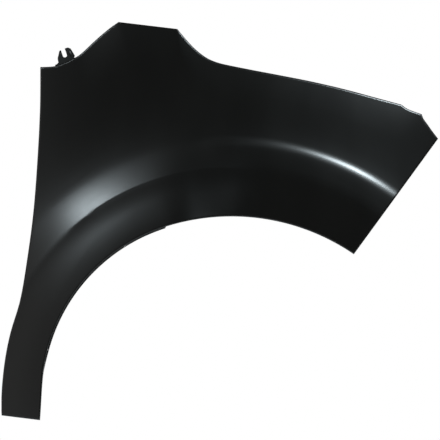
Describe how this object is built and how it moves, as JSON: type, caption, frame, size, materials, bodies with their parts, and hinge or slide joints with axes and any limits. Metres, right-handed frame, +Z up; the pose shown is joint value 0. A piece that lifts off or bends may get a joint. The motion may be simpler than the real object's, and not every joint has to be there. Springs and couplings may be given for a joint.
{
  "type": "car fender",
  "caption": "Right-hand front fender pressing of a small car, with a flared wheel opening, folded mounting flanges and a forked locating bracket.",
  "frame": {"origin": "on the underside of the rear pad of the hood-side flange, where the fender rests on the body's rail", "axes": "+X points to the front of the car and +Z up, as installed; the painted outer side faces -Y"},
  "size_m": [0.7652, 0.1601, 0.6962],
  "materials": {
    "black_coat": "semi-gloss black dip primer on pressed steel",
    "bracket_coat": "satin black dip primer on steel"
  },
  "bodies": {
    "root": {"fender_panel": "black_coat", "pillar_bracket": "bracket_coat"}
  },
  "joints": []
}
